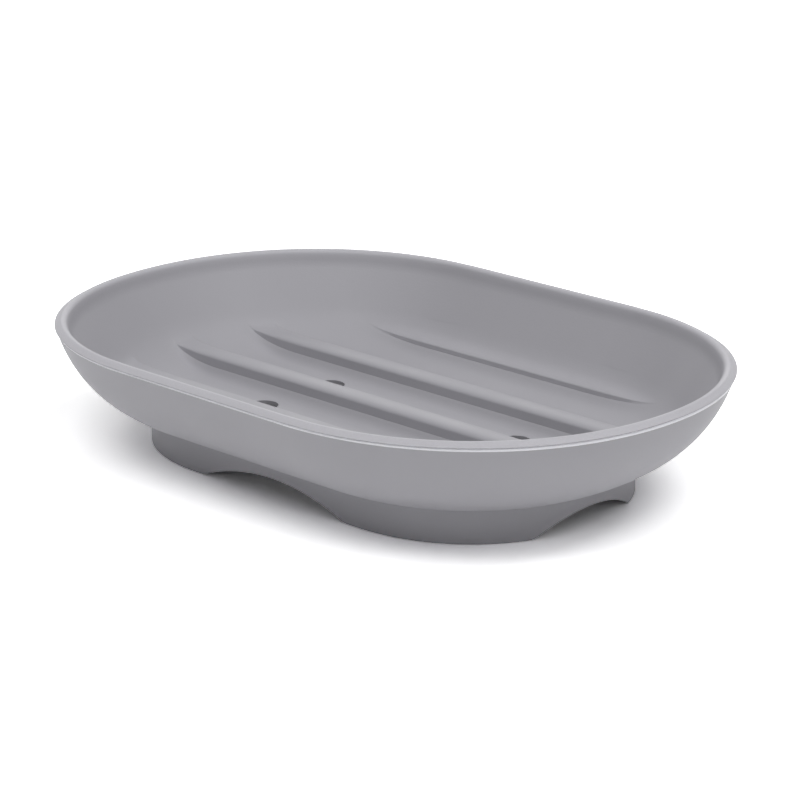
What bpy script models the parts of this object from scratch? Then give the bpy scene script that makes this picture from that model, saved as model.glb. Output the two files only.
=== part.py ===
"""Oval soap dish: a ridged drip tray that hangs by its rim in a loose outer shell on an arched foot.

Metres, +Z up. The origin is on the resting plane, under the middle of the dish. X runs along the dish.
"""

import math

import bmesh
import bpy
from mathutils import Vector

MM = 0.001

# Plan of the dish at the base's top edge; the tray's rim stands a little further out
LENGTH = 139.6 * MM
WIDTH = 97.2 * MM
END_FULLNESS = 2.09  # exponent of the rounded ends; 2 is a plain circle

# Height to the rim's crown, and walls
HEIGHT = 25.3 * MM
BASE_WALL = 1.0 * MM
TRAY_WALL = 1.0 * MM
CLEARANCE = 0.3 * MM

# Bowl curve of the base's outside, from its top edge in to the middle of the floor
FLARE_ANGLE = math.radians(22.0)
FLARE_LENGTH = 1.25 * MM
FLOOR_INSET = 27.5 * MM
FLOOR_REACH = 22.6 * MM
FLOOR_HEIGHT = 7.6 * MM

# Inside of the tray: a short steep lip, a straight wall and a long soft turn into the floor
LIP_LENGTH = 2.1 * MM
LIP_TURN = 0.9 * MM
WALL_SLOPE = math.radians(54.0)
WALL_TURN = 9.0 * MM

# Domed rim: a tight arc inwards from the crown, a flatter one outwards, and a small round at the edge
RIM_INNER_ROUND = 1.2 * MM
RIM_CROWN_ROUND = 1.7 * MM
RIM_SHOULDER = math.radians(55.0)
RIM_EDGE_ROUND = 0.3 * MM

# Other edges
LEDGE_ROUND = 0.2 * MM
FOOT_ROUND = 0.3 * MM

# Foot ring
FOOT_INSET = 17.75 * MM
FOOT_WALL = 2.0 * MM
SIDE_ARCH_RADIUS = 48.0 * MM
SIDE_ARCH_HEIGHT = 4.0 * MM
END_ARCH_RADIUS = 24.0 * MM
END_ARCH_HEIGHT = 4.0 * MM
ARCH_FLARE = 5.0 * MM

# Ridges of the tray
RIDGE_COUNT = 5
RIDGE_PITCH = 18.35 * MM
RIDGE_HEIGHT = 4.1 * MM
RIDGE_WIDTH = 5.0 * MM
RIDGE_ROUND = 1.1 * MM
RIDGE_FACE = 2.5 * MM
RIDGE_LEAN = 0.16 * MM
SKIRT_WIDTH = 3.0 * MM

# Drain holes of the tray
HOLE_RADIUS = 2.9 * MM
HOLE_SPAN = 50.0 * MM

# Facets
END_STEPS = 21
CURVE_STEPS = 12
ROUND_STEPS = 3
ARCH_STEPS = 14
HOLE_STEPS = 24
SMOOTH_LIMIT = math.radians(32.0)

# Finish
PLASTIC_GREY = (0.30, 0.30, 0.325, 1.0)
PLASTIC_ROUGHNESS = 0.55

# Distances under which two points count as one, between outline points and along a profile
SAME_POINT = 0.03 * MM
SAME_PLACE = 0.075 * MM

# Worked out from the sizes above
RIM_HEIGHT = RIM_CROWN_ROUND * (1 - math.cos(RIM_SHOULDER)) + RIM_EDGE_ROUND * (1 + math.cos(RIM_SHOULDER))
RIM_UNDERSIDE = HEIGHT - RIM_HEIGHT
BASE_TOP = RIM_UNDERSIDE - CLEARANCE
TRAY_DEPTH = BASE_WALL + CLEARANCE
BOWL_DEPTH = TRAY_DEPTH + TRAY_WALL
END_RADIUS = WIDTH / 2
HALF_STRAIGHT = LENGTH / 2 - END_RADIUS


def clear_scene():
    for old in list(bpy.data.objects):
        bpy.data.objects.remove(old, do_unlink=True)


def plastic(name):
    """Matt moulded plastic in one grey."""
    material = bpy.data.materials.new(name)
    material.use_nodes = True
    shader = material.node_tree.nodes["Principled BSDF"]
    shader.inputs["Base Color"].default_value = PLASTIC_GREY
    shader.inputs["Roughness"].default_value = PLASTIC_ROUGHNESS
    shader.inputs["Metallic"].default_value = 0.0
    material.diffuse_color = PLASTIC_GREY
    return material


def outline(inset, height):
    """Points of the dish's oval, moved inwards by inset, anticlockwise at one height."""
    quarter = []
    for step in range(END_STEPS + 1):
        angle = math.pi / 2 * step / END_STEPS
        along = math.cos(angle) if step < END_STEPS else 0.0
        across = math.sin(angle)
        power = 2 / END_FULLNESS
        slope = Vector((along ** (2 - power), across ** (2 - power)))
        slope.normalize()
        x = END_RADIUS * along ** power - inset * slope.x
        y = END_RADIUS * across ** power - inset * slope.y
        quarter.append((x + HALF_STRAIGHT, y))
    left = [(-x, y) for x, y in reversed(quarter)]
    upper = quarter + left
    lower = [(-x, -y) for x, y in upper]
    points = upper + lower
    unique = [p for n, p in enumerate(points) if math.dist(p, points[n - 1]) > SAME_POINT]
    return [(x, y, height) for x, y in unique]


def bowl_curve(depth):
    """(inset, height) points of the bowl at a depth inside the base's outside, from the top in to the floor."""
    floor = FLOOR_HEIGHT - BOWL_DEPTH
    flare = Vector((math.sin(FLARE_ANGLE), -math.cos(FLARE_ANGLE)))
    start = Vector((0.0, BASE_TOP - LEDGE_ROUND))
    end = Vector((FLOOR_INSET, floor))
    first = start + flare * FLARE_LENGTH
    last = end - Vector((FLOOR_REACH, 0.0))
    normal = Vector((-flare.y, flare.x))
    points = [start + normal * depth - flare * HEIGHT]
    for step in range(CURVE_STEPS + 1):
        t = step / CURVE_STEPS
        s = 1 - t
        point = s ** 3 * start + 3 * s * s * t * first + 3 * s * t * t * last + t ** 3 * end
        tangent = s * s * (first - start) + 2 * s * t * (last - first) + t * t * (end - last)
        tangent.normalize()
        points.append(point + Vector((-tangent.y, tangent.x)) * depth)
    return points


def turn(start, corner, end, steps):
    """Points of a soft turn from one straight stretch into the next."""
    points = []
    for step in range(steps + 1):
        t = step / steps
        points.append(start.lerp(corner, t).lerp(corner.lerp(end, t), t))
    return points


def inside_curve():
    """(inset, height) points of the tray's inside, from over the rim down the lip and the wall to the floor."""
    flare = Vector((math.sin(FLARE_ANGLE), -math.cos(FLARE_ANGLE)))
    wall = Vector((math.cos(WALL_SLOPE), -math.sin(WALL_SLOPE)))
    start = Vector((0.0, BASE_TOP - LEDGE_ROUND)) + Vector((-flare.y, flare.x)) * BOWL_DEPTH
    lip = start + flare * LIP_LENGTH
    corner = lip + wall * (lip.y - FLOOR_HEIGHT) / math.sin(WALL_SLOPE)
    under_lip = turn(lip - flare * LIP_TURN, lip, lip + wall * LIP_TURN, ROUND_STEPS)
    into_floor = turn(corner - wall * WALL_TURN, corner, Vector((FLOOR_INSET, FLOOR_HEIGHT)), CURVE_STEPS)
    return [start - flare * HEIGHT] + under_lip + into_floor


def cut_at(points, axis, limit):
    """Where the line of points crosses a limit along one axis (0 is inset, 1 is height)."""
    for before, after in zip(points, points[1:]):
        low, high = sorted((before[axis], after[axis]))
        if low <= limit <= high and high > low:
            return before.lerp(after, (limit - before[axis]) / (after[axis] - before[axis]))
    return points[-1]


def below(points, top):
    """The part of a curve under one height, starting at that height."""
    kept = [p for p in points if p.y < top - SAME_PLACE]
    return [cut_at(points, 1, top)] + kept


def outside_of(points, inset):
    """The part of a curve nearer the edge than an inset, ending there."""
    kept = [p for p in points if p.x < inset - SAME_PLACE]
    return kept + [cut_at(points, 0, inset)]


def arc(inset, height, radius, start, end):
    """(inset, height) points of an arc about a centre; angle 0 points up and positive angles lean inwards."""
    points = []
    for step in range(ROUND_STEPS + 1):
        angle = start + (end - start) * step / ROUND_STEPS
        offset = Vector((math.sin(angle), math.cos(angle))) * radius
        points.append(Vector((inset, height)) + offset)
    return points


def loft(name, profile, closed):
    """Sweep (inset, height) points round the oval: a ring when closed, or a plug with two flat caps."""
    mesh = bmesh.new()
    loops = [[mesh.verts.new(p) for p in outline(point.x, point.y)] for point in profile]
    pairs = list(zip(loops, loops[1:]))
    if closed:
        pairs.append((loops[-1], loops[0]))
    else:
        mesh.faces.new(loops[0])
        mesh.faces.new(loops[-1])
    for one, other in pairs:
        for n in range(len(one)):
            mesh.faces.new((one[n - 1], one[n], other[n], other[n - 1]))
    bmesh.ops.recalc_face_normals(mesh, faces=mesh.faces)
    return finished(name, mesh)


def finished(name, mesh):
    data = bpy.data.meshes.new(name)
    mesh.to_mesh(data)
    mesh.free()
    thing = bpy.data.objects.new(name, data)
    bpy.context.collection.objects.link(thing)
    return thing


def prism(mesh, section, axis, start, end):
    """Extrude a closed section of (across, height) points along X (axis 0) or Y (axis 1)."""
    def place(across, height, along):
        return (along, across, height) if axis == 0 else (across, along, height)
    near = [mesh.verts.new(place(a, h, start)) for a, h in section]
    far = [mesh.verts.new(place(a, h, end)) for a, h in section]
    mesh.faces.new(near)
    mesh.faces.new(far)
    for n in range(len(section)):
        mesh.faces.new((near[n - 1], near[n], far[n], far[n - 1]))


def combine(target, tool, operation):
    """Apply a Boolean and remove the tool."""
    modifier = target.modifiers.new(operation.lower(), "BOOLEAN")
    modifier.operation = operation
    modifier.object = tool
    modifier.solver = "EXACT"
    with bpy.context.temp_override(object=target, active_object=target):
        bpy.ops.object.modifier_apply(modifier=modifier.name)
    bpy.data.objects.remove(tool, do_unlink=True)


def ridge_section(centre):
    """(y, height) outline of one ridge: flat crest, rounded edges, steep faces and hollow skirts."""
    crest = FLOOR_HEIGHT + RIDGE_HEIGHT
    edge = RIDGE_WIDTH / 2 - RIDGE_ROUND
    face_foot = edge + RIDGE_ROUND + RIDGE_LEAN
    skirt_rise = RIDGE_HEIGHT - RIDGE_FACE
    skirt_radius = (SKIRT_WIDTH ** 2 + skirt_rise ** 2) / (2 * skirt_rise)
    skirt_turn = math.asin(SKIRT_WIDTH / skirt_radius)
    side = []
    for step in range(ROUND_STEPS + 1):
        angle = math.pi / 2 * step / ROUND_STEPS
        side.append((edge + RIDGE_ROUND * math.sin(angle), crest - RIDGE_ROUND * (1 - math.cos(angle))))
    for step in range(ROUND_STEPS + 1):
        angle = skirt_turn * (1 - step / ROUND_STEPS)
        side.append((face_foot + SKIRT_WIDTH - skirt_radius * math.sin(angle),
                     FLOOR_HEIGHT + skirt_radius * (1 - math.cos(angle))))
    side.append((side[-1][0], FLOOR_HEIGHT - TRAY_WALL))
    return [(centre + y, z) for y, z in side] + [(centre - y, z) for y, z in reversed(side)]


def ridge_centres(count):
    return [(n - (count - 1) / 2) * RIDGE_PITCH for n in range(count)]


def ridges():
    """The bars of the ridges, trimmed to sink half the wall into the bowl."""
    mesh = bmesh.new()
    for centre in ridge_centres(RIDGE_COUNT):
        prism(mesh, ridge_section(centre), 0, -LENGTH / 2, LENGTH / 2)
    bmesh.ops.recalc_face_normals(mesh, faces=mesh.faces)
    bars = finished("ridge_bars", mesh)
    sunk = BOWL_DEPTH - TRAY_WALL / 2
    plug = loft("bowl_plug", below(bowl_curve(sunk), BASE_TOP), False)
    combine(bars, plug, "INTERSECT")
    return bars


def ridge_cores():
    """Channels under the inner ridges, which keep the moulding one wall thick."""
    mesh = bmesh.new()
    half = RIDGE_WIDTH / 2 - TRAY_WALL
    top = FLOOR_HEIGHT + RIDGE_HEIGHT - TRAY_WALL
    for centre in ridge_centres(RIDGE_COUNT - 2):
        section = [(centre - half, 0.0), (centre + half, 0.0), (centre + half, top), (centre - half, top)]
        prism(mesh, section, 0, -LENGTH / 2, LENGTH / 2)
    bmesh.ops.recalc_face_normals(mesh, faces=mesh.faces)
    return finished("ridge_cores", mesh)


def drain_holes():
    """Four upright cylinders, in the two valleys beside the middle ridge."""
    mesh = bmesh.new()
    for x in (-HOLE_SPAN / 2, HOLE_SPAN / 2):
        for y in (-RIDGE_PITCH / 2, RIDGE_PITCH / 2):
            ring = bmesh.ops.create_cone(mesh, cap_ends=True, segments=HOLE_STEPS, radius1=HOLE_RADIUS,
                                         radius2=HOLE_RADIUS, depth=2 * FLOOR_HEIGHT)
            bmesh.ops.translate(mesh, verts=ring["verts"], vec=(x, y, FLOOR_HEIGHT))
    return finished("drain_cutters", mesh)


def arch_section(radius, height):
    """(across, height) outline of an arch: a round crown that flares into the resting face."""
    centre = height - radius
    reach = math.sqrt((radius + ARCH_FLARE) ** 2 - (ARCH_FLARE - centre) ** 2)
    swing = math.asin(reach / (radius + ARCH_FLARE))
    crown = []
    for step in range(ARCH_STEPS + 1):
        angle = -swing + 2 * swing * step / ARCH_STEPS
        crown.append((radius * math.sin(angle), centre + radius * math.cos(angle)))
    flare = []
    for step in range(ROUND_STEPS):
        angle = swing * step / ROUND_STEPS
        flare.append((reach - ARCH_FLARE * math.sin(angle), ARCH_FLARE * (1 - math.cos(angle))))
    left = [(-across, z) for across, z in flare]
    sill = -height
    return [(-reach, sill)] + left + crown + flare[::-1] + [(reach, sill)]


def arch_cutter(radius, height, axis):
    mesh = bmesh.new()
    prism(mesh, arch_section(radius, height), axis, -LENGTH, LENGTH)
    bmesh.ops.recalc_face_normals(mesh, faces=mesh.faces)
    return finished("arch_cutter", mesh)


def build_base():
    """Outer shell, its top ledge and the arched foot ring, in one moulding."""
    quarter = math.pi / 2
    foot_inner = FOOT_INSET + FOOT_WALL
    shoulder = BASE_TOP - LEDGE_ROUND
    wall = outside_of(below(bowl_curve(0.0), shoulder), FOOT_INSET)
    lining = outside_of(below(bowl_curve(BASE_WALL), shoulder), foot_inner)
    outer_edge = arc(wall[0].x + LEDGE_ROUND, shoulder, LEDGE_ROUND, 0.0, -quarter)
    inner_edge = arc(lining[0].x - LEDGE_ROUND, shoulder, LEDGE_ROUND, quarter, 0.0)
    foot_outer_edge = arc(FOOT_INSET + FOOT_ROUND, FOOT_ROUND, FOOT_ROUND, -quarter, -2 * quarter)
    foot_inner_edge = arc(foot_inner - FOOT_ROUND, FOOT_ROUND, FOOT_ROUND, 2 * quarter, quarter)
    profile = outer_edge + wall[1:] + foot_outer_edge + foot_inner_edge + lining[:0:-1] + inner_edge
    base = loft("base", profile, True)
    combine(base, arch_cutter(SIDE_ARCH_RADIUS, SIDE_ARCH_HEIGHT, 1), "DIFFERENCE")
    combine(base, arch_cutter(END_ARCH_RADIUS, END_ARCH_HEIGHT, 0), "DIFFERENCE")
    return base


def rim_section():
    """(inset, height) points over the rim, from the rounded edge's underside to the bowl's wall."""
    wall_turn = math.pi / 2 - FLARE_ANGLE
    touch = HEIGHT - RIM_INNER_ROUND * (1 - math.cos(wall_turn))
    crown = below(inside_curve(), touch)[0].x - RIM_INNER_ROUND * math.sin(wall_turn)
    reach = RIM_CROWN_ROUND - RIM_EDGE_ROUND
    edge = arc(crown - reach * math.sin(RIM_SHOULDER), HEIGHT - RIM_CROWN_ROUND + reach * math.cos(RIM_SHOULDER),
               RIM_EDGE_ROUND, -math.pi, -RIM_SHOULDER)
    outer = arc(crown, HEIGHT - RIM_CROWN_ROUND, RIM_CROWN_ROUND, -RIM_SHOULDER, 0.0)
    inner = arc(crown, HEIGHT - RIM_INNER_ROUND, RIM_INNER_ROUND, 0.0, wall_turn)
    return edge + outer[1:] + inner[1:]


def build_tray():
    """Bowl with a rim that rests on the base, five ridges with hollow backs, and four drain holes."""
    rim = rim_section()
    underside = below(bowl_curve(TRAY_DEPTH), RIM_UNDERSIDE)
    bowl = below(inside_curve(), rim[-1].y)
    tray = loft("tray", underside[::-1] + rim + bowl[1:], False)
    combine(tray, ridges(), "UNION")
    combine(tray, ridge_cores(), "DIFFERENCE")
    combine(tray, drain_holes(), "DIFFERENCE")
    return tray


def finish(thing, material):
    thing.data.materials.clear()
    thing.data.materials.append(material)
    for face in thing.data.polygons:
        face.material_index = 0
    thing.data.shade_smooth()
    thing.data.set_sharp_from_angle(angle=SMOOTH_LIMIT)


def main():
    clear_scene()
    finish(build_base(), plastic("base_plastic"))
    finish(build_tray(), plastic("tray_plastic"))


main()
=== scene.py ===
"""Looks of the oval soap dish: matt grey moulded plastic on a white floor under soft light."""

import math

import bmesh
import bpy
import numpy as np
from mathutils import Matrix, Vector


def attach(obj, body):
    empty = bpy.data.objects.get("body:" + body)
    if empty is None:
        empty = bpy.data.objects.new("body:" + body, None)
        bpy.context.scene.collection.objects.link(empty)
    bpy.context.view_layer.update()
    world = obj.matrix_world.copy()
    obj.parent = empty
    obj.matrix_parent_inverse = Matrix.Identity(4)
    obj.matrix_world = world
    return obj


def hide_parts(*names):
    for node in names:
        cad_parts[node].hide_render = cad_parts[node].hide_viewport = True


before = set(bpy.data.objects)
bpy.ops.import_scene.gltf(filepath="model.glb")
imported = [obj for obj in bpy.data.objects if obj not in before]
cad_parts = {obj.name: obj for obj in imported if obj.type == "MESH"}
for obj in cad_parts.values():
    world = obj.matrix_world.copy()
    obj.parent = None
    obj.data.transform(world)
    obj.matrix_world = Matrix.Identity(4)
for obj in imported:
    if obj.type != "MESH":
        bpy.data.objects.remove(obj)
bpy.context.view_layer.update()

MM = 0.001

# Camera, as fitted to the photograph
CAMERA_AZIMUTH = math.radians(44.113)
CAMERA_ELEVATION = math.radians(18.068)
CAMERA_DISTANCE = 555.03 * MM
CAMERA_AIM = Vector((1.455, 2.0, 12.0)) * MM
CAMERA_LENS = 129.64
SENSOR_WIDTH = 36.0
CAMERA_NEAR = 10 * MM

# Plan of the base's top edge, and height of the rim's crown
LENGTH = 139.6 * MM
WIDTH = 97.2 * MM
HEIGHT = 25.3 * MM
END_FULLNESS = 2.09
END_RADIUS = WIDTH / 2
HALF_STRAIGHT = LENGTH / 2 - END_RADIUS

# Walls and rim
BASE_WALL = 1.0 * MM
TRAY_WALL = 1.0 * MM
CLEARANCE = 0.3 * MM
SEAM = 0.1 * MM
RIM_CROWN_ROUND = 1.7 * MM
RIM_SHOULDER = math.radians(55.0)
RIM_EDGE_ROUND = 0.3 * MM
RIM_INNER_ROUND = 1.2 * MM
LEDGE_ROUND = 0.2 * MM
RIM_HEIGHT = (RIM_CROWN_ROUND * (1 - math.cos(RIM_SHOULDER))
              + RIM_EDGE_ROUND * (1 + math.cos(RIM_SHOULDER)))
RIM_REACH = (RIM_CROWN_ROUND - RIM_EDGE_ROUND) * math.sin(RIM_SHOULDER) + RIM_EDGE_ROUND
BASE_TOP = HEIGHT - RIM_HEIGHT - CLEARANCE

# Rim as it is seen: a small round crest, a plain slope down to a crisp corner, and the base close under it
RIM_CREST_ROUND = 0.6 * MM
RIM_SLOPE = math.radians(30.0)
RIM_CORNER_ROUND = 0.1 * MM
RIM_SLOPE_REACH = RIM_REACH - RIM_CORNER_ROUND
RIM_CORNER_DROP = (RIM_CREST_ROUND
                   + (RIM_SLOPE_REACH * math.sin(RIM_SLOPE) - RIM_CREST_ROUND + RIM_CORNER_ROUND)
                   / math.cos(RIM_SLOPE))
LEDGE_TOP = HEIGHT - RIM_CORNER_DROP - RIM_CORNER_ROUND - SEAM
TRAY_DEPTH = BASE_WALL + CLEARANCE
BOWL_DEPTH = TRAY_DEPTH + TRAY_WALL

# Bowl curve of the base's outside
FLARE_ANGLE = math.radians(22.0)
FLARE_LENGTH = 1.25 * MM
FLOOR_INSET = 27.5 * MM
FLOOR_REACH = 22.6 * MM
FLOOR_HEIGHT = 7.6 * MM
WALL_TOP = np.array((0.0, BASE_TOP - LEDGE_ROUND))
FLARE = np.array((math.sin(FLARE_ANGLE), -math.cos(FLARE_ANGLE)))

# Inside of the tray: a short steep lip, a straight wall and a long soft turn into the floor
LIP_LENGTH = 2.1 * MM
LIP_TURN = 0.9 * MM
WALL_SLOPE = math.radians(54.0)
WALL_TURN = 9.0 * MM
FLOOR_TURN_END = 24.0 * MM

# Ridges and drain holes
RIDGE_COUNT = 5
RIDGE_PITCH = 18.35 * MM
RIDGE_HEIGHT = 4.1 * MM
RIDGE_WIDTH = 5.0 * MM
RIDGE_ROUND = 1.1 * MM
RIDGE_FACE = 2.5 * MM
RIDGE_LEAN = 0.16 * MM
CREST_FULLNESS = 2.4
SKIRT_WIDTH = 4.2 * MM
SKIRT_SHOULDER = 1.4
SKIRT_HOLLOW = 9.0
TIP_MERGE = 1.2 * MM
RIDGE_TOP = FLOOR_HEIGHT + RIDGE_HEIGHT
CHANNEL_HALF = RIDGE_WIDTH / 2 - TRAY_WALL
CHANNEL_TOP = RIDGE_TOP - TRAY_WALL
HOLE_RADIUS = 2.9 * MM
HOLE_SPAN = 50.0 * MM

# Foot ring
FOOT_INSET = 17.75 * MM
FOOT_WALL = 2.0 * MM
FOOT_ROUND = 0.3 * MM
SIDE_ARCH_RADIUS = 48.0 * MM
SIDE_ARCH_HEIGHT = 4.0 * MM
END_ARCH_RADIUS = 24.0 * MM
END_ARCH_HEIGHT = 4.0 * MM
ARCH_FLARE = 5.0 * MM

# Meshes: the tray is a grid inside PATCH_INSET, and rings of faces from it out over the rim and back under.
# An even row nearer than ROW_GAP to a turn of the ridges' section is left out, and a channel's side turns
# within CHANNEL_EDGE of its place.
PATCH_INSET = 8.5 * MM
PATCH_COLUMNS = 150
COLUMN_CROWDING = 0.35
END_ROWS = 46
ROW_GAP = 0.3 * MM
ROW_DECIMALS = 7
SKIRT_CROWDING = 1.3
CHANNEL_EDGE = 0.01 * MM
CURVE_STEPS = 48
CURVE_GAP = 0.015 * MM
LOFT_STEPS = 96
RIDGE_STEPS = 12
ROUND_STEPS = 6
ARCH_STEPS = 40
HOLE_STEPS = 64
OUTLINE_SAMPLES = 4001
INSET_PASSES = 6
NORMAL_PASSES = 4
SAME_PLACE = 0.001 * MM
TINY = 1e-9
MIRROR_X = np.array((-1.0, 1.0))
SMOOTH_LIMIT = math.radians(35.0)

# Plastic: a mid grey with a trace of violet; the rim is paled as a painted sheen, and the base's top edge is
# painted nearly white as a painted highlight
TRAY_GREY = (0.362, 0.357, 0.383, 1.0)
BASE_GREY = (0.416, 0.411, 0.440, 1.0)
# Paler rim colour: painted sheen, standing for the light that the open rim catches
RIM_SHEEN_GREY = (0.465, 0.459, 0.490, 1.0)
# Near-white top edge of the base: painted highlight, not the plastic's own colour
EDGE_HIGHLIGHT_WHITE = (0.93, 0.93, 0.97, 1.0)
RIM_SHEEN_INSETS = (1.6 * MM, 2.5 * MM)
EDGE_HIGHLIGHT_BAND = (0.32 * MM, 0.68 * MM)
EDGE_HIGHLIGHT_REACH = 85 * MM
MOTTLE_SCALE = 70.0
MOTTLE_DETAIL = 3.0
MOTTLE_SHARE = 0.025
MOTTLE_RANGE = (0.3, 0.7)
GRAIN_SCALE = 2600.0
GRAIN_DETAIL = 2.0
GRAIN_SHARE = 0.06
GRAIN_DEPTH = 0.02 * MM
ROUGHNESS_RANGE = (0.46, 0.56)
GLOSS = 0.25

# Places of the colour sockets on a Mix node
MIX_COLOURS_IN = (6, 7)
MIX_COLOUR_OUT = 2

# Surroundings
FLOOR_RADIUS = 0.8
FLOOR_SIDES = 96
FLOOR_WHITE = (0.9, 0.9, 0.9, 1.0)
FLOOR_SEEN = (1.85, 1.85, 1.85, 1.0)
WORLD_WHITE = (1.0, 1.0, 1.0, 1.0)

# Softboxes: azimuth (0 is the side that the dish's -Y face looks to, 90 is +X), elevation, watts
SOFTBOX_DISTANCE = 1.2
SOFTBOX_SIZE = 0.7
SOFTBOXES = {
    "front_low": (0.0, 14.0, 1.55),
    "right_low": (90.0, 14.0, 1.33),
    "left_low": (270.0, 14.0, 0.91),
    "back_low": (225.0, 26.0, 1.92),
    "right_mid": (90.0, 50.0, 2.61),
    "left_mid": (315.0, 50.0, 1.18),
    "front_high": (0.0, 62.0, 4.53),
    "near_high": (45.0, 62.0, 1.19),
    "rear_high": (135.0, 62.0, 4.89),
}


def direction(azimuth, elevation):
    """Unit vector from the dish towards a place seen at an azimuth and an elevation."""
    flat = math.cos(elevation)
    return Vector((math.sin(azimuth) * flat, -math.cos(azimuth) * flat, math.sin(elevation)))


def add_camera():
    """Camera at the photograph's angle and distance."""
    data = bpy.data.cameras.new("camera")
    data.sensor_width = SENSOR_WIDTH
    data.lens = CAMERA_LENS
    data.clip_start = CAMERA_NEAR
    camera = bpy.data.objects.new("camera", data)
    bpy.context.scene.collection.objects.link(camera)
    back = direction(CAMERA_AZIMUTH, CAMERA_ELEVATION)
    camera.location = CAMERA_AIM + back * CAMERA_DISTANCE
    camera.rotation_euler = (-back).to_track_quat("-Z", "Y").to_euler()
    bpy.context.scene.camera = camera


def add_softbox(name, azimuth, elevation, watts):
    """Round area lamp that looks at the dish from an azimuth and an elevation in degrees."""
    data = bpy.data.lights.new(name, "AREA")
    data.shape = "DISK"
    data.size = SOFTBOX_SIZE
    data.energy = watts
    lamp = bpy.data.objects.new(name, data)
    bpy.context.scene.collection.objects.link(lamp)
    towards = direction(math.radians(azimuth), math.radians(elevation))
    lamp.location = towards * SOFTBOX_DISTANCE
    lamp.rotation_euler = (-towards).to_track_quat("-Z", "Y").to_euler()


def new_material(name):
    """Material with nodes: itself, its nodes, its links and its shader."""
    material = bpy.data.materials.new(name)
    material.use_nodes = True
    nodes = material.node_tree.nodes
    return material, nodes, material.node_tree.links, nodes["Principled BSDF"]


def calculate(tree, operation, *values):
    """Math node on sockets and numbers; returns its result."""
    node = tree.nodes.new("ShaderNodeMath")
    node.operation = operation
    for place, value in zip(node.inputs, values):
        if isinstance(value, bpy.types.NodeSocket):
            tree.links.new(value, place)
        else:
            place.default_value = value
    return node.outputs["Value"]


def ramp(tree, value, start, end, low=0.0, high=1.0):
    """Soft step of a socket's value from low at start to high at end."""
    node = tree.nodes.new("ShaderNodeMapRange")
    node.interpolation_type = "SMOOTHSTEP"
    tree.links.new(value, node.inputs["Value"])
    for name, number in (("From Min", start), ("From Max", end), ("To Min", low), ("To Max", high)):
        node.inputs[name].default_value = number
    return node.outputs["Result"]


def noise(tree, place, scale, detail):
    """Noise between 0 and 1 at a place on the object."""
    node = tree.nodes.new("ShaderNodeTexNoise")
    node.inputs["Scale"].default_value = scale
    node.inputs["Detail"].default_value = detail
    tree.links.new(place, node.inputs["Vector"])
    return node.outputs["Fac"]


def blend_colours(tree, share, first, second):
    """Mix of two colours, each a socket or a value, by a share from a socket."""
    node = tree.nodes.new("ShaderNodeMix")
    node.data_type = "RGBA"
    tree.links.new(share, node.inputs["Factor"])
    for number, colour in zip(MIX_COLOURS_IN, (first, second)):
        if isinstance(colour, bpy.types.NodeSocket):
            tree.links.new(colour, node.inputs[number])
        else:
            node.inputs[number].default_value = colour
    return node.outputs[MIX_COLOUR_OUT]


def scaled(colour, factor):
    """Colour made darker or paler by a factor."""
    return tuple(channel * factor for channel in colour[:3]) + (1.0,)


def plastic(name, grey, painted_light_colour, painted_light_share):
    """Matt moulded plastic, mottled and finely grained, with a paler colour painted on as a painted
    highlight where the share function says.
    """
    material, nodes, links, shader = new_material(name)
    tree = material.node_tree
    place = nodes.new("ShaderNodeTexCoord").outputs["Object"]
    mottle = noise(tree, place, MOTTLE_SCALE, MOTTLE_DETAIL)
    grain = noise(tree, place, GRAIN_SCALE, GRAIN_DETAIL)
    body = blend_colours(tree, mottle, scaled(grey, 1 - MOTTLE_SHARE), scaled(grey, 1 + MOTTLE_SHARE))
    speckled = blend_colours(tree, grain, scaled(painted_light_colour, 1 - GRAIN_SHARE), scaled(painted_light_colour, 1 + GRAIN_SHARE))
    colour = blend_colours(tree, painted_light_share(tree, place), body, speckled)
    links.new(colour, shader.inputs["Base Color"])
    links.new(ramp(tree, mottle, *MOTTLE_RANGE, *ROUGHNESS_RANGE), shader.inputs["Roughness"])
    shader.inputs["Specular IOR Level"].default_value = GLOSS
    bump = nodes.new("ShaderNodeBump")
    bump.inputs["Distance"].default_value = GRAIN_DEPTH
    links.new(grain, bump.inputs["Height"])
    links.new(bump.outputs["Normal"], shader.inputs["Normal"])
    return material


def rim_sheen_share(tree, place):
    """1 on the tray's rim, whose colour is paled there as a painted sheen, fading out on the way down into
    the bowl.
    """
    split = tree.nodes.new("ShaderNodeSeparateXYZ")
    tree.links.new(place, split.inputs["Vector"])
    along = calculate(tree, "ABSOLUTE", split.outputs["X"])
    along = calculate(tree, "MAXIMUM", calculate(tree, "SUBTRACT", along, HALF_STRAIGHT), 0.0)
    along = calculate(tree, "POWER", along, END_FULLNESS)
    across = calculate(tree, "POWER", calculate(tree, "ABSOLUTE", split.outputs["Y"]), END_FULLNESS)
    reach = calculate(tree, "POWER", calculate(tree, "ADD", along, across), 1 / END_FULLNESS)
    inset = calculate(tree, "SUBTRACT", END_RADIUS, reach)
    return ramp(tree, inset, *RIM_SHEEN_INSETS, 1.0, 0.0)


def edge_highlight_share(tree, place):
    """1 on a band along the base's top edge, painted white as a painted highlight, wider towards +X +Y, the
    side that the light catches.
    """
    split = tree.nodes.new("ShaderNodeSeparateXYZ")
    tree.links.new(place, split.inputs["Vector"])
    along = calculate(tree, "ADD", split.outputs["X"], split.outputs["Y"])
    band = ramp(tree, along, -EDGE_HIGHLIGHT_REACH, EDGE_HIGHLIGHT_REACH, *EDGE_HIGHLIGHT_BAND)
    depth = calculate(tree, "SUBTRACT", LEDGE_TOP, split.outputs["Z"])
    return calculate(tree, "LESS_THAN", depth, band)


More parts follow.
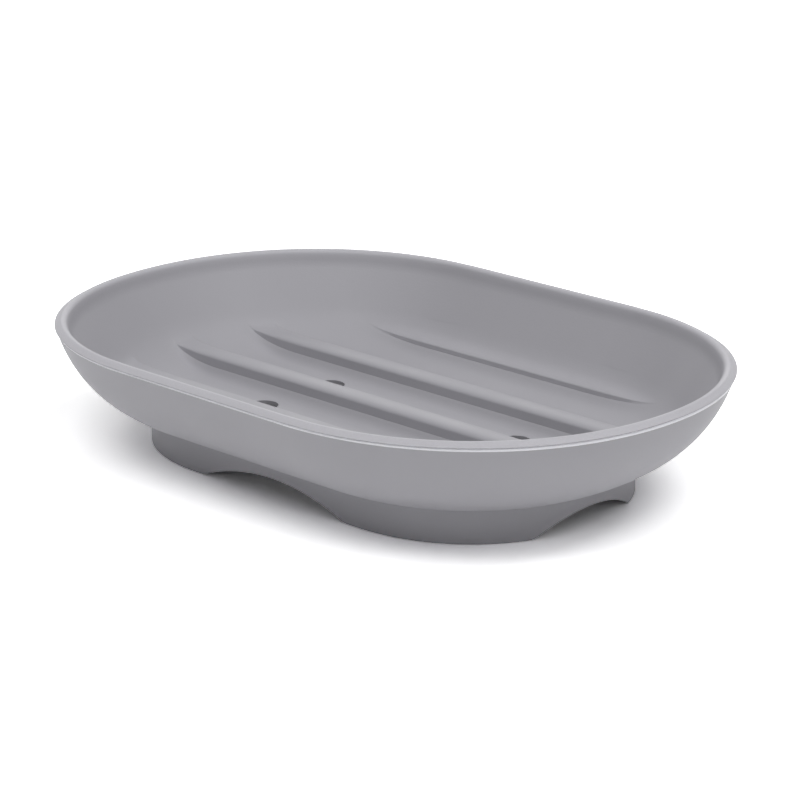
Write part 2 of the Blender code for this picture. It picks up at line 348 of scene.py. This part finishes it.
def seen_directly(tree):
    """Socket that is 1 for what is seen, straight, in gloss or through glass, and 0 for all other light."""
    path = tree.nodes.new("ShaderNodeLightPath").outputs
    straight_or_gloss = calculate(tree, "MAXIMUM", path["Is Camera Ray"], path["Is Glossy Ray"])
    return calculate(tree, "MAXIMUM", straight_or_gloss, path["Is Transmission Ray"])


def add_floor():
    """White disc that keeps the dish's shadow; the white world goes on beyond its edge."""
    bpy.ops.mesh.primitive_circle_add(vertices=FLOOR_SIDES, radius=FLOOR_RADIUS, fill_type="NGON")
    floor = bpy.context.object
    floor.name = "floor"
    material, nodes, links, shader = new_material("floor_white")
    nodes.remove(shader)
    lit = nodes.new("ShaderNodeBsdfDiffuse")
    lit.inputs["Color"].default_value = FLOOR_WHITE
    seen = nodes.new("ShaderNodeBsdfDiffuse")
    seen.inputs["Color"].default_value = FLOOR_SEEN
    mix = nodes.new("ShaderNodeMixShader")
    links.new(seen_directly(material.node_tree), mix.inputs["Fac"])
    links.new(lit.outputs["BSDF"], mix.inputs[1])
    links.new(seen.outputs["BSDF"], mix.inputs[2])
    links.new(mix.outputs["Shader"], nodes["Material Output"].inputs["Surface"])
    floor.data.materials.append(material)


def add_world():
    """White where it is seen, and dark otherwise: the softboxes light the dish."""
    world = bpy.data.worlds.new("studio")
    world.use_nodes = True
    nodes = world.node_tree.nodes
    backdrop = nodes["Background"]
    backdrop.inputs["Color"].default_value = WORLD_WHITE
    world.node_tree.links.new(seen_directly(world.node_tree), backdrop.inputs["Strength"])
    bpy.context.scene.world = world


def end_arc(angles):
    """Points and outward normals of the quarter end at +X +Y, from its tip (0) to its side (90 degrees)."""
    power = 2 / END_FULLNESS
    along = np.clip(np.cos(angles), 0.0, 1.0)
    along[angles >= math.pi / 2 - TINY] = 0.0
    across = np.sin(angles)
    points = np.stack([HALF_STRAIGHT + END_RADIUS * along ** power, END_RADIUS * across ** power], axis=1)
    normals = np.stack([along ** (2 - power), across ** (2 - power)], axis=1)
    return points, normals / np.linalg.norm(normals, axis=1)[:, None]


def inset_at(x, y):
    """How far inside the outline each point of a plan lies, found by closing in on the nearest edge."""
    power = 2 / END_FULLNESS
    along = np.clip(np.abs(x) - HALF_STRAIGHT, 0.0, None)
    across = np.abs(y)
    inset = END_RADIUS - np.hypot(along, across)
    for _ in range(INSET_PASSES):
        reach = np.hypot(along, across) + TINY
        normal_x, normal_y = along / reach, across / reach
        for _ in range(NORMAL_PASSES):
            foot_x = np.clip(along + inset * normal_x, 0.0, None)
            foot_y = np.clip(across + inset * normal_y, 0.0, None)
            angle = np.arctan2(foot_y ** (1 / power), foot_x ** (1 / power))
            normal_x = np.clip(np.cos(angle), 0.0, 1.0) ** (2 - power)
            normal_y = np.clip(np.sin(angle), 0.0, 1.0) ** (2 - power)
            size = np.hypot(normal_x, normal_y)
            normal_x, normal_y = normal_x / size, normal_y / size
        edge_x = END_RADIUS * np.clip(np.cos(angle), 0.0, 1.0) ** power
        edge_y = END_RADIUS * np.clip(np.sin(angle), 0.0, 1.0) ** power
        inset = (edge_x - along) * normal_x + (edge_y - across) * normal_y
    return inset


def bowl_curve(depth):
    """(inset, height) points of the bowl at a depth inside the base's outside, from its top to the floor."""
    end = np.array((FLOOR_INSET, FLOOR_HEIGHT - BOWL_DEPTH))
    first = WALL_TOP + FLARE * FLARE_LENGTH
    last = end - np.array((FLOOR_REACH, 0.0))
    t = np.linspace(0.0, 1.0, CURVE_STEPS + 1)[:, None]
    s = 1 - t
    points = s ** 3 * WALL_TOP + 3 * s * s * t * first + 3 * s * t * t * last + t ** 3 * end
    tangent = s * s * (first - WALL_TOP) + 2 * s * t * (last - first) + t * t * (end - last)
    tangent /= np.linalg.norm(tangent, axis=1)[:, None]
    inward = np.stack([-tangent[:, 1], tangent[:, 0]], axis=1)
    above = WALL_TOP + depth * inward[0] - FLARE * HEIGHT
    return np.vstack([above, points + depth * inward])


def turn(start, corner, end):
    """Points of a soft turn from one straight stretch into the next."""
    t = np.linspace(0.0, 1.0, CURVE_STEPS + 1)[:, None]
    return (1 - t) ** 2 * start + 2 * t * (1 - t) * corner + t ** 2 * end


def inside_curve():
    """(inset, height) points of the tray's inside, from over the rim down lip and wall to the floor."""
    wall = np.array((math.cos(WALL_SLOPE), -math.sin(WALL_SLOPE)))
    start = WALL_TOP + BOWL_DEPTH * np.array((-FLARE[1], FLARE[0]))
    lip = start + FLARE * LIP_LENGTH
    corner = lip + wall * (lip[1] - FLOOR_HEIGHT) / math.sin(WALL_SLOPE)
    under_lip = turn(lip - FLARE * LIP_TURN, lip, lip + wall * LIP_TURN)
    into_floor = turn(corner - wall * WALL_TURN, corner, np.array((FLOOR_TURN_END, FLOOR_HEIGHT)))
    return np.vstack([start - FLARE * HEIGHT, start, under_lip, into_floor])


def below(curve, top):
    """The part of a curve under one height, starting at that height."""
    inset = np.interp(-top, -curve[:, 1], curve[:, 0])
    kept = curve[curve[:, 1] < top - CURVE_GAP]
    return np.vstack([(inset, top), kept])


def outside_of(curve, inset):
    """The part of a curve nearer the edge than an inset, ending there."""
    height = np.interp(inset, curve[:, 0], curve[:, 1])
    kept = curve[curve[:, 0] < inset - CURVE_GAP]
    return np.vstack([kept, (inset, height)])


def arc(inset, height, radius, start, end):
    """(inset, height) points of an arc about a centre; angle 0 is up and positive angles lean inwards."""
    angles = np.linspace(start, end, ROUND_STEPS + 1)
    return np.stack([inset + radius * np.sin(angles), height + radius * np.cos(angles)], axis=1)


def rim_section(wall):
    """(inset, height) points over the rim, from the bowl's wall to the corner's underside."""
    wall_turn = math.pi / 2 - FLARE_ANGLE
    touch = HEIGHT - RIM_INNER_ROUND * (1 - math.cos(wall_turn))
    crown = below(wall, touch)[0, 0] - RIM_INNER_ROUND * math.sin(wall_turn)
    inner = arc(crown, HEIGHT - RIM_INNER_ROUND, RIM_INNER_ROUND, wall_turn, 0.0)
    crest = arc(crown, HEIGHT - RIM_CREST_ROUND, RIM_CREST_ROUND, 0.0, -RIM_SLOPE)
    corner = arc(crown - RIM_REACH + RIM_CORNER_ROUND, HEIGHT - RIM_CORNER_DROP, RIM_CORNER_ROUND,
                 -RIM_SLOPE, -math.pi)
    return np.vstack([inner, crest[1:], corner])


def ridge_offsets():
    """Distances from a ridge's middle line at which its section turns, out to the end of its skirt."""
    half = RIDGE_WIDTH / 2
    crest = half * np.sin(np.linspace(0.0, math.pi / 2, RIDGE_STEPS + 1)) ** (2 / CREST_FULLNESS)
    skirt = half + RIDGE_LEAN + SKIRT_WIDTH * np.linspace(0.0, 1.0, RIDGE_STEPS) ** SKIRT_CROWDING
    return np.concatenate([crest, skirt])


def face_share(distance):
    """Share of a ridge's face height at a distance from its middle line: soft crest, then steep face."""
    half = RIDGE_WIDTH / 2
    across = np.clip(distance / half, 0.0, 1.0)
    crest = 1 - RIDGE_ROUND / RIDGE_FACE * (1 - (1 - across ** CREST_FULLNESS) ** (1 / CREST_FULLNESS))
    foot = 1 - RIDGE_ROUND / RIDGE_FACE
    return np.where(distance < half, crest, foot * np.clip(1 - (distance - half) / RIDGE_LEAN, 0.0, 1.0))


def skirt_share(distance):
    """Share of the skirt's height at a distance from the ridge's middle line: small ledge, long hollow."""
    out = np.clip((distance - RIDGE_WIDTH / 2 - RIDGE_LEAN) / SKIRT_WIDTH, 0.0, 1.0)
    return (1 - out ** SKIRT_SHOULDER) ** SKIRT_HOLLOW


def ridge_lines(count):
    """Y of the middle lines of the innermost ridges."""
    return (np.arange(count) - (count - 1) / 2) * RIDGE_PITCH


def tray_top(x, y):
    """Height of the bowl's inside with its ridges, which merge into the wall where it meets their crest."""
    curve = inside_curve()
    bowl = np.interp(inset_at(x, y), curve[:, 0], curve[:, 1])
    room = RIDGE_TOP - bowl
    rise = np.where(room < TIP_MERGE, np.clip(room + TIP_MERGE, 0.0, None) ** 2 / (4 * TIP_MERGE), room)
    skirt = rise * (1 - RIDGE_FACE / RIDGE_HEIGHT)
    distance = np.min([np.abs(y - line) for line in ridge_lines(RIDGE_COUNT)], axis=0)
    return bowl + (rise - skirt) * face_share(distance) + skirt * skirt_share(distance)


def tray_under(x, y):
    """Height of the tray's underside, with a channel under each inner ridge."""
    curve = bowl_curve(TRAY_DEPTH)
    bowl = np.interp(inset_at(x, y), curve[:, 0], curve[:, 1])
    for line in ridge_lines(RIDGE_COUNT - 2):
        bowl = np.where(np.abs(y - line) < CHANNEL_HALF, np.maximum(bowl, CHANNEL_TOP), bowl)
    return bowl


def patch_rows():
    """Y of the patch's rows: spread along the rounded end, and at each turn of the ridges' section."""
    edge = END_RADIUS - PATCH_INSET
    points, normals = end_arc(np.linspace(0.0, math.pi / 2, END_ROWS))
    even = points[:, 1] - PATCH_INSET * normals[:, 1]
    turns = []
    for line in ridge_lines(RIDGE_COUNT):
        turns += [line - ridge_offsets(), line + ridge_offsets()]
    channel_sides = CHANNEL_HALF + np.array((-CHANNEL_EDGE, CHANNEL_EDGE))
    for line in ridge_lines(RIDGE_COUNT - 2):
        turns += [line - channel_sides, line + channel_sides]
    turns = np.unique(np.round(np.concatenate(turns), ROW_DECIMALS))
    turns = turns[np.abs(turns) < edge]
    even = np.concatenate([-even, even])
    far = np.abs(even[:, None] - turns[None, :]).min(axis=1) > ROW_GAP
    rows = np.unique(np.round(np.concatenate([turns, even[far], (-edge, edge)]), ROW_DECIMALS))
    return rows[np.concatenate([(True,), np.diff(rows) > SAME_PLACE])]


def patch_grid(rows):
    """X and Y of a grid that fills the oval inside PATCH_INSET, with its rows along X."""
    angles = np.linspace(0.0, math.pi / 2, OUTLINE_SAMPLES)
    points, normals = end_arc(angles)
    reach = points - PATCH_INSET * normals
    half_length = np.interp(np.abs(rows), reach[:, 1], reach[:, 0])
    angle = np.interp(np.abs(rows), reach[:, 1], angles)
    u = np.linspace(-1.0, 1.0, PATCH_COLUMNS)
    spread = np.sin(u * math.pi / 2) * COLUMN_CROWDING + u * (1 - COLUMN_CROWDING)
    x = half_length[:, None] * spread[None, :]
    y = np.repeat(rows[:, None], PATCH_COLUMNS, axis=1)
    return x, y, angle


def patch_border(rows, columns):
    """Indices of the patch's border, anticlockwise from its corner at -X -Y."""
    index = np.arange(rows * columns).reshape(rows, columns)
    return np.concatenate([index[0, :-1], index[:-1, -1], index[-1, :0:-1], index[:0:-1, 0]])


def border_rays(x, y, angle):
    """Outline point and outward normal beyond each border point of the patch."""
    rows, columns = x.shape
    ends, normals = end_arc(angle)
    side = np.sign(np.where(y[:, 0] == 0, 1, y[:, 0]))
    right = np.stack([ends[:, 0], ends[:, 1] * side], axis=1)
    right_normal = np.stack([normals[:, 0], normals[:, 1] * side], axis=1)
    low = np.stack([x[0], np.full(columns, -END_RADIUS)], axis=1)
    high = np.stack([x[-1], np.full(columns, END_RADIUS)], axis=1)
    down = np.tile((0.0, -1.0), (columns, 1))
    points = np.vstack([low[:-1], right[:-1], high[:0:-1], (right * MIRROR_X)[:0:-1]])
    outward = np.vstack([down[:-1], right_normal[:-1], -down[:0:-1], (right_normal * MIRROR_X)[:0:-1]])
    return points, outward


def rings(points, outward, profile):
    """Vertices of a profile's (inset, height) points, each set all round the outline."""
    return [np.column_stack([points - inset * outward, np.full(len(points), height)])
            for inset, height in profile]


def quads(index):
    """Faces of a grid of vertex numbers, one quad per cell."""
    corners = [index[:-1, :-1], index[:-1, 1:], index[1:, 1:], index[1:, :-1]]
    return np.stack(corners, axis=-1).reshape(-1, 4)


def mesh_object(name, vertices, faces):
    """Object made from arrays of vertices and faces."""
    data = bpy.data.meshes.new(name)
    data.from_pydata(vertices.tolist(), [], faces.tolist())
    data.update()
    thing = bpy.data.objects.new(name, data)
    bpy.context.scene.collection.objects.link(thing)
    return thing


def tray_profile():
    """(inset, height) points from the patch's border up the bowl, over the rim and back underneath."""
    inside = inside_curve()
    rim = rim_section(inside)
    bowl = outside_of(below(inside, rim[0, 1]), PATCH_INSET)
    underside = outside_of(below(bowl_curve(TRAY_DEPTH), rim[-1, 1]), PATCH_INSET)
    return np.vstack([bowl[:0:-1], rim, underside])


def build_tray():
    """Inner dish: its bowl with the ridges, its rim and its underside, as one closed mesh."""
    rows = patch_rows()
    x, y, angle = patch_grid(rows)
    top = np.stack([x, y, tray_top(x, y)], axis=-1).reshape(-1, 3)
    under = np.stack([x, y, tray_under(x, y)], axis=-1).reshape(-1, 3)
    border = patch_border(*x.shape)
    points, normals = border_rays(x, y, angle)
    profile = tray_profile()[1:-1]
    count = len(top)
    vertices = np.vstack([top] + rings(points, normals, profile) + [under])
    first_ring = count + np.arange(len(profile) * len(border)).reshape(len(profile), len(border))
    under_start = count + first_ring.size
    walls = np.vstack([border[None, :], first_ring, (under_start + border)[None, :]])
    walls = np.hstack([walls, walls[:, :1]])
    grid = np.arange(count).reshape(x.shape)
    faces = np.vstack([quads(grid), quads(walls)[:, ::-1], quads(grid + under_start)[:, ::-1]])
    return mesh_object("dish_tray", vertices, faces)


def loft(name, profile):
    """Sweep (inset, height) points round the oval into a ring."""
    ends, normals = end_arc(np.linspace(0.0, math.pi / 2, LOFT_STEPS + 1))
    points = np.vstack([ends, (ends * MIRROR_X)[::-1], -ends, (-ends * MIRROR_X)[::-1]])
    outward = np.vstack([normals, (normals * MIRROR_X)[::-1], -normals, (-normals * MIRROR_X)[::-1]])
    fresh = np.linalg.norm(points - np.roll(points, 1, axis=0), axis=1) > SAME_PLACE
    points, outward = points[fresh], outward[fresh]
    index = np.arange(len(profile) * len(points)).reshape(len(profile), len(points))
    index = np.vstack([index, index[:1]])
    index = np.hstack([index, index[:, :1]])
    return mesh_object(name, np.vstack(rings(points, outward, profile)), quads(index)[:, ::-1])


def cut_out(target, tool):
    """Cut the tool out of the target and remove the tool."""
    modifier = target.modifiers.new("cut", "BOOLEAN")
    modifier.operation = "DIFFERENCE"
    modifier.object = tool
    modifier.solver = "EXACT"
    with bpy.context.temp_override(object=target, active_object=target):
        bpy.ops.object.modifier_apply(modifier=modifier.name)
    bpy.data.objects.remove(tool, do_unlink=True)


def arch_section(radius, height):
    """(across, height) outline of an arch: a round crown that flares into the resting face."""
    centre = height - radius
    reach = math.sqrt((radius + ARCH_FLARE) ** 2 - (ARCH_FLARE - centre) ** 2)
    swing = math.asin(reach / (radius + ARCH_FLARE))
    crown_turn = np.linspace(-swing, swing, ARCH_STEPS + 1)
    crown = np.stack([radius * np.sin(crown_turn), centre + radius * np.cos(crown_turn)], axis=1)
    flare_turn = np.linspace(0.0, swing, ROUND_STEPS + 1)[:-1]
    flare_across = reach - ARCH_FLARE * np.sin(flare_turn)
    right = np.stack([flare_across, ARCH_FLARE * (1 - np.cos(flare_turn))], axis=1)
    left = right * MIRROR_X
    return np.vstack([(-reach, -height), left, crown, right[::-1], (reach, -height)])


def arch_cutter(radius, height, axis):
    """Prism of an arch section along X (axis 0) or Y (axis 1)."""
    section = arch_section(radius, height)
    mesh = bmesh.new()
    ends = []
    for along in (-LENGTH, LENGTH):
        place = [(along, a, h) if axis == 0 else (a, along, h) for a, h in section]
        ends.append([mesh.verts.new(p) for p in place])
        mesh.faces.new(ends[-1])
    near, far = ends
    for n in range(len(section)):
        mesh.faces.new((near[n - 1], near[n], far[n], far[n - 1]))
    bmesh.ops.recalc_face_normals(mesh, faces=mesh.faces)
    data = bpy.data.meshes.new("arch")
    mesh.to_mesh(data)
    mesh.free()
    cutter = bpy.data.objects.new("arch", data)
    bpy.context.scene.collection.objects.link(cutter)
    return cutter


def drain_cutter():
    """Four upright cylinders between the middle ridges."""
    mesh = bmesh.new()
    for x in (-HOLE_SPAN / 2, HOLE_SPAN / 2):
        for y in (-RIDGE_PITCH / 2, RIDGE_PITCH / 2):
            ring = bmesh.ops.create_cone(mesh, cap_ends=True, segments=HOLE_STEPS, radius1=HOLE_RADIUS,
                                         radius2=HOLE_RADIUS, depth=2 * FLOOR_HEIGHT)
            bmesh.ops.translate(mesh, verts=ring["verts"], vec=(x, y, FLOOR_HEIGHT))
    data = bpy.data.meshes.new("drains")
    mesh.to_mesh(data)
    mesh.free()
    cutter = bpy.data.objects.new("drains", data)
    bpy.context.scene.collection.objects.link(cutter)
    return cutter


def build_base():
    """Outer shell, its top ledge and the arched foot ring."""
    foot_inner = FOOT_INSET + FOOT_WALL
    shoulder = LEDGE_TOP - LEDGE_ROUND
    wall = outside_of(below(bowl_curve(0.0), shoulder), FOOT_INSET)
    lining = outside_of(below(bowl_curve(BASE_WALL), shoulder), foot_inner)
    quarter = math.pi / 2
    outer_edge = arc(wall[0, 0] + LEDGE_ROUND, shoulder, LEDGE_ROUND, 0.0, -quarter)
    inner_edge = arc(lining[0, 0] - LEDGE_ROUND, shoulder, LEDGE_ROUND, quarter, 0.0)
    foot_outer_edge = arc(FOOT_INSET + FOOT_ROUND, FOOT_ROUND, FOOT_ROUND, -quarter, -2 * quarter)
    foot_inner_edge = arc(foot_inner - FOOT_ROUND, FOOT_ROUND, FOOT_ROUND, 2 * quarter, quarter)
    profile = np.vstack([outer_edge, wall[1:], foot_outer_edge, foot_inner_edge, lining[:0:-1], inner_edge])
    base = loft("dish_base", profile)
    cut_out(base, arch_cutter(SIDE_ARCH_RADIUS, SIDE_ARCH_HEIGHT, 1))
    cut_out(base, arch_cutter(END_ARCH_RADIUS, END_ARCH_HEIGHT, 0))
    return base


def finish_piece(piece, node, material):
    """Give a piece its material and soft shading, and put it in the place of a node."""
    piece.data.materials.clear()
    piece.data.materials.append(material)
    piece.data.polygons.foreach_set("material_index", [0] * len(piece.data.polygons))
    piece.data.shade_smooth()
    piece.data.set_sharp_from_angle(angle=SMOOTH_LIMIT)
    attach(piece, node)
    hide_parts(node)


def dress():
    """Put the fine tray and base in the place of the plain solids."""
    tray = build_tray()
    cut_out(tray, drain_cutter())
    # The tray's paler rim is a painted sheen, and the base's white top edge is a painted highlight
    finish_piece(tray, "tray", plastic("tray_plastic", TRAY_GREY, RIM_SHEEN_GREY, rim_sheen_share))
    finish_piece(build_base(), "base", plastic("base_plastic", BASE_GREY, EDGE_HIGHLIGHT_WHITE, edge_highlight_share))


bpy.context.scene.view_settings.view_transform = "Standard"
dress()
add_floor()
add_world()
add_camera()
for name, settings in SOFTBOXES.items():
    add_softbox(name, *settings)
